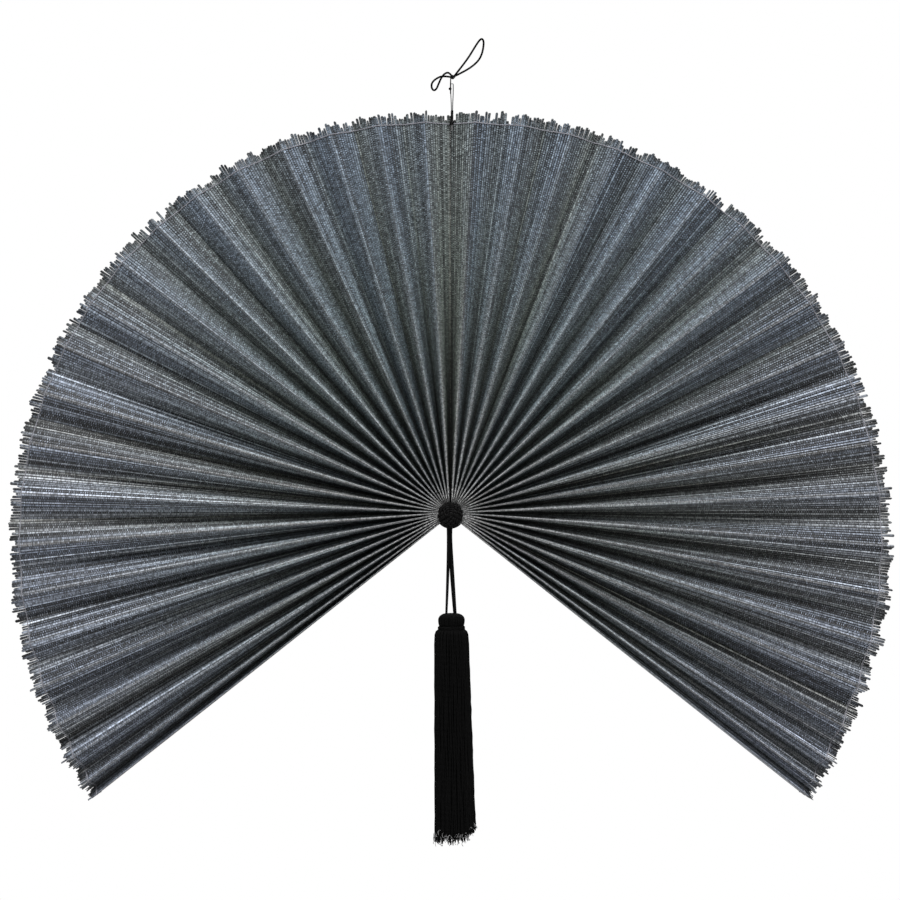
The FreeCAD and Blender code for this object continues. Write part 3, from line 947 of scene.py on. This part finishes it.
def build_tassel_binding():
    """Neck whipping: one thread wound a little over three times, slightly slanted."""
    data = MeshData()
    radius = (NECK_HIGH.x - NECK_LOW.x) / 2 - 0.8 * MM
    turns, steps = 3.2, 150
    path = []
    for i in range(steps + 1):
        s = i / steps
        a = 2 * math.pi * turns * s
        z = NECK_HIGH.z - 0.5 * MM + (NECK_LOW.z - NECK_HIGH.z + 0.6 * MM) * s
        path.append((TASSEL_X + radius * math.sin(a), TASSEL_Y - radius * math.cos(a), z))
    add_tube(data, path, 0.85 * MM, 7, 0, 3)
    core = [(TASSEL_X, TASSEL_Y, NECK_HIGH.z), (TASSEL_X, TASSEL_Y, NECK_LOW.z)]
    add_tube(data, core, radius * 0.98, 28, 0, 9)
    finish_yarn(data, "tassel_neck_whipping", "tassel_binding")


SKIRT_TOP = SKIRT_HIGH.z
SKIRT_HEIGHT = SKIRT_HIGH.z - SKIRT_LOW.z
STRAND_SHARES = np.r_[0.0, 0.008, 0.022, np.linspace(0.07, 0.93, 14), 0.965, 0.985, 1.0]
NEAR_TURN = 6.28  # a full turn, for phases and waves that needn't close


def skirt_outline(share):
    """Centre drift and radius of the skirt at a share of its height, top to foot."""
    heights = (0.0, 0.008, 0.022, 0.06, 0.475, 1.0)
    radii = (13.6, 15.9, 17.0, 17.5, 18.9, 20.9)
    drift = (0.0, 0.0, 0.0, 0.1, 1.7, 4.0)
    return np.interp(share, heights, drift) * MM, np.interp(share, heights, radii) * MM


def add_skirt_strand(data, rng, layer, count, i, number):
    """One waving strand of the skirt, tapered at the foot; returns its last point."""
    a = 2 * math.pi * (i + rng.uniform(-0.3, 0.3)) / count
    right_side = 0.5 + 0.5 * math.sin(a)
    end = 1.0 - rng.uniform(0.0, 0.03) - 0.06 * right_side * abs(math.sin(a)) + 0.004
    sway, phase = rng.uniform(0.1, 0.55) * MM, rng.uniform(0, NEAR_TURN)
    kink, flare = rng.uniform(3, 8), rng.uniform(-0.8, 0.9) * MM
    shares = STRAND_SHARES * end
    radii = np.full(len(shares), rng.uniform(0.82, 1.05) * MM)
    radii[-2] *= 0.9
    radii[-1] *= 0.45
    path = []
    for s in shares:
        drift, radius = skirt_outline(s)
        wave = sway * math.sin(kink * s * NEAR_TURN + phase) * min(1, 4 * s)
        r = radius - (1.0 + 1.7 * layer) * MM + wave
        r += flare * max(0.0, s - 0.9) * 6
        b = a + 0.035 * math.sin(kink * 2 * s + phase)
        x, y = TASSEL_X + drift + r * math.sin(b), TASSEL_Y - r * math.cos(b)
        path.append((x, y, SKIRT_TOP - s * SKIRT_HEIGHT))
    steps = [(number + j / 5, s * SKIRT_HEIGHT / MM) for s in shares for j in range(5)]
    data.add(tube_points(path, radii, 5), strip_faces(len(path), 5), 0, steps)
    return path[-1]


def add_curl(data, rng, foot, number):
    """Short curl of untwisted, mostly paler yarn at the cut end of a strand."""
    turn, pull = rng.uniform(0, NEAR_TURN), rng.uniform(0.5, 1.3)
    size = rng.uniform(0.7, 1.5) * MM
    up = rng.uniform(0.5, 8.0) * MM
    # the middle of the foot is about 4.2 mm right of the tassel's own axis
    out = Vector((foot[0] - TASSEL_X - 4.2 * MM, foot[1] - TASSEL_Y, 0)).normalized()
    path = []
    for i in range(9):
        a = turn + i * 0.55 * pull
        x = foot[0] + out.x * 0.7 * MM + size * math.cos(a) * 0.9
        y = foot[1] + out.y * 0.9 * MM + size * math.sin(a) * 0.5
        path.append((x, y, foot[2] + up - i * 0.34 * MM + size * math.sin(a)))
    add_tube(data, path, rng.uniform(0.22, 0.36) * MM, 5, 1 if rng.random() < 0.75 else 0, number)


def build_tassel_skirt():
    """Two layers of yarn over a dark core, ragged at the foot with paler cut tips."""
    data = MeshData()
    rng = random.Random(5)
    feet = []
    for layer, count in ((0, 76), (1, 60)):
        for i in range(count):
            feet.append(add_skirt_strand(data, rng, layer, count, i, len(feet)))
    number = len(feet)
    for foot in feet:
        for _ in range(2 if rng.random() < 0.6 else 1):
            add_curl(data, rng, foot, number)
            number += 1
    core, radii = [], []
    for s in np.linspace(0, 0.955, 14):
        drift, radius = skirt_outline(s)
        core.append((TASSEL_X + drift, TASSEL_Y, SKIRT_TOP - s * SKIRT_HEIGHT))
        radii.append(radius - 2.6 * MM)
    add_tube(data, core, radii, 32, 0, 900)
    finish_yarn(data, "tassel_skirt_yarn", "tassel_skirt", (YARN, YARN_TIP))


# ---- cords and wire


def spline_curve(name, route, radius):
    """Round black cord on one open NURBS line with the route as control points."""
    curve = bpy.data.curves.new(name, "CURVE")
    curve.dimensions = "3D"
    curve.bevel_depth = radius
    curve.bevel_resolution = 3
    curve.resolution_u = 8
    curve.use_fill_caps = True
    spline = curve.splines.new("NURBS")
    spline.points.add(len(route) - 1)
    for point, (x, y, z) in zip(spline.points, route):
        point.co = (x, y, z, 1.0)
    spline.order_u = 3
    spline.use_endpoint_u = True
    curve.materials.append(CORD)
    return new_object(name, curve)


def scaled(route, origin=(0.0, 0.0, 0.0)):
    """Route in mm from an origin, as points in metres."""
    return [tuple(o + v * MM for o, v in zip(origin, point)) for point in route]


LONG_LOOP = (
    (2.0, -0.9, 8.4), (14.7, -0.9, 24.2), (23.2, -0.6, 38.3), (27.2, -0.2, 44.4),
    (29.9, 0.1, 46.6), (31.8, 0.3, 44.0), (31.5, 0.5, 38.0), (30.1, 0.7, 31.5),
    (27.1, 0.8, 25.0), (20.3, 0.9, 18.6), (11.1, 1.0, 13.0), (2.4, 1.0, 8.8),
)
SMALL_LOOP = (
    (0.2, -1.0, 8.2), (-2.0, -1.0, 11.3), (-4.8, -1.0, 12.4), (-8.5, -1.1, 10.2),
    (-11.4, -1.1, 5.6), (-13.7, -0.9, 0.2), (-15.6, -0.3, -4.4), (-18.5, 0.2, -5.8),
    (-20.6, 0.6, -2.6), (-20.4, 0.9, 2.2), (-15.9, 1.2, 6.6), (-9.1, 1.2, 9.5),
    (-0.6, 1.0, 7.9),
)
TAIL = ((-1.2, -0.6, 7.2), (-1.5, -0.95, 2.0), (-1.55, -0.95, -3.5), (-1.45, -0.95, -9.0))
TASSEL_LOOP = (
    (-4.0, -13.3, -98.0), (-2.3, -13.3, -56.0), (-1.8, -13.2, -14.0), (-3.3, -12.4, -4.0),
    (-3.3, -11.9, 3.3), (3.3, -11.3, 3.3), (3.3, -10.8, -4.0), (-0.6, -10.0, -14.0),
    (1.3, -9.9, -56.0), (4.5, -9.9, -98.0),
)
# The left strand is pulled thin where it enters the tassel head; the right one is fuller.
TASSEL_LOOP_FULLNESS = (0.75, 1.06, 1.06, 1.0, 1.0, 1.0, 1.0, 1.06, 1.53, 1.1)


def build_cords():
    # The tail is the short cut end of the small loop's cord.
    tail = spline_curve("bow_cord_tail", scaled(TAIL), 0.55 * MM)
    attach(tail, "hub")
    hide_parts("cord_tail")
    for name, route, length, ends in (
        ("cord_long_loop", LONG_LOOP, 0.0994, []),
        ("cord_small_loop", SMALL_LOOP, 0.0600, [tail]),
    ):
        route = scaled(route)
        piece = spline_curve("bow_" + name, route, 1.0 * MM)
        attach(piece, "hub")
        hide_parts(name)
    route = scaled(TASSEL_LOOP, HUB)
    piece = spline_curve("tassel_loop", route, 1.6 * MM)
    for point, fullness in zip(piece.data.splines[0].points, TASSEL_LOOP_FULLNESS):
        point.radius = fullness
    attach(piece, "tassel")
    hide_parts("tassel_cord")


BOW_WRAP = ((-1.3, -1.2, 1.1), (-0.3, -1.6, 0.5), (0.5, -1.5, -0.6), (1.1, -0.9, -1.3))


def build_bow_knot():
    """Small overhand knot with one strand laid over its front."""
    centre = middle_of("bow_knot")
    data = MeshData()
    add_tube(data, knot_path(centre, 60, 1.15, 0.35, 1.0, wide=1.1), 0.72 * MM, 8, 0, 1)
    add_tube(data, scaled(BOW_WRAP, centre), 0.7 * MM, 8, 0, 2)
    finish_cord(data, "bow_knot_turns", "bow_knot")


# one turn of the stitch as (x, y) in mm, round the wire and through the mat
STITCH_TURN = (
    (1.1, -0.2), (0.7, -0.72), (-0.7, -0.75), (-1.9, -0.72), (-2.05, 0.4), (-1.9, 2.9),
    (-1.75, 2.9), (-1.7, 0.9), (-0.7, 0.72), (0.7, 0.7), (1.1, 0.2),
)


def build_stitch():
    """Thread whipped round the wire stem and through the mat."""
    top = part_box("hanger_stitch")[1].z
    data = MeshData()
    for turn in range(4):
        z = top - (0.4 + 0.75 * turn) * MM
        path = [(x * MM, y * MM, z + 0.1 * MM * math.sin(i)) for i, (x, y) in enumerate(STITCH_TURN)]
        add_tube(data, path, 0.3 * MM, 6, 0, turn)
    finish_cord(data, "hanger_stitch_thread", "hanger_stitch")


def build_lashing():
    """Thread wound closely round both legs of the wire."""
    low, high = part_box("stem_lashing")
    data = MeshData()
    turns = 13
    steps = turns * 14
    wide, deep = (high.x - low.x) / 2 - 0.36 * MM, (high.y - low.y) / 2 - 0.5 * MM
    path = []
    for i in range(steps + 1):
        a = 2 * math.pi * turns * i / steps
        z = high.z - 0.4 * MM + (low.z - high.z + 0.8 * MM) * i / steps
        path.append((wide * math.sin(a), -deep * math.cos(a), z + 0.12 * MM * math.sin(a * 0.31)))
    add_tube(data, path, 0.46 * MM, 6, 0, 1)
    finish_cord(data, "stem_lashing_thread", "stem_lashing")


def build_tail_knot():
    """Tiny overhand knot in the tail cord, just below the bow."""
    data = MeshData()
    centre = (-1.9 * MM, -0.6 * MM, -4.0 * MM)
    add_tube(data, knot_path(centre, 40, 0.95, 0.25, 0.8, tall=0.8), 0.5 * MM, 6, 0, 1)
    piece = data.build("tail_knot", (KNOT,), ("Strand",))
    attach(piece, "hub")


def dress_cad_nodes():
    """Materials of the CAD nodes that stay as they are."""
    for node, material in (("hanger_wire", STEEL), ("hub_core", CORD), ("pivot_cord", CORD)):
        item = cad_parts[node]
        item.data.materials.clear()
        item.data.materials.append(material)


# ---- camera, light and stage


def build_camera():
    """Long lens straight in front of the fan."""
    camera = bpy.data.cameras.new("camera")
    camera.lens = 92.0
    camera.sensor_width = 36.0
    item = new_object("camera", camera)
    item.location = (HUB.x - 0.0004, HUB.y - 2.3, HUB.z + 0.0645)
    item.rotation_euler = (math.radians(90), 0, 0)
    bpy.context.scene.camera = item


def area_light(name, place, target, size, power):
    light = bpy.data.lights.new(name, "AREA")
    light.shape = "RECTANGLE"
    light.size, light.size_y = size
    light.energy = power
    item = new_object(name, light)
    item.location = place
    item.rotation_euler = (Vector(target) - Vector(place)).to_track_quat("-Z", "Y").to_euler()


def build_world():
    """White to the camera; as light, bright overhead and dim below."""
    world = bpy.data.worlds.new("studio")
    bpy.context.scene.world = world
    world.use_nodes = True
    g = Graph(world.node_tree)
    world.node_tree.nodes.clear()
    place = g.node("ShaderNodeTexCoord").outputs["Generated"]
    height = g.slope(g.split(place)[2], 0.5, 0.5)
    glow = g.ramp(height, [(0.0, grey(0.05)), (0.5, grey(0.19)), (1.0, grey(0.60))])
    lit = g.node("ShaderNodeBackground")
    g.feed(lit.inputs[0], glow)
    seen = g.node("ShaderNodeBackground")
    seen.inputs[0].default_value = grey(1.0)
    ray = g.node("ShaderNodeLightPath").outputs["Is Camera Ray"]
    both = g.node("ShaderNodeMixShader")
    g.feed(both.inputs[0], ray)
    g.tree.links.new(lit.outputs[0], both.inputs[1])
    g.tree.links.new(seen.outputs[0], both.inputs[2])
    out = g.node("ShaderNodeOutputWorld")
    g.tree.links.new(both.outputs[0], out.inputs[0])


def build_floor():
    bpy.ops.mesh.primitive_plane_add(size=4.0, location=(0, -0.4, -1.3))
    floor = bpy.context.object
    floor.name = "studio_floor"
    material, g, shader = new_material("pale_floor")
    g.dress(shader, {"Base Color": grey(0.8), "Roughness": 0.9})
    floor.data.materials.append(material)


def build_lights():
    area_light("key", (0.0, -1.75, 3.5), HUB, (3.2, 1.8), 290.0)
    area_light("fill", (0.4, -2.4, -0.3), HUB, (1.4, 1.4), 7.0)
    area_light("back", (0.3, 1.8, 1.0), HUB, (1.4, 1.4), 25.0)


build_camera()
build_cords()
build_bow_knot()
build_stitch()
build_lashing()
build_tail_knot()
build_mat()
build_middle_strip()
build_button()
build_back_knot()
build_gather_rings()
build_tassel_head()
build_tassel_binding()
build_tassel_skirt()
dress_cad_nodes()
build_world()
build_floor()
build_lights()
bpy.context.scene.view_settings.view_transform = "Standard"
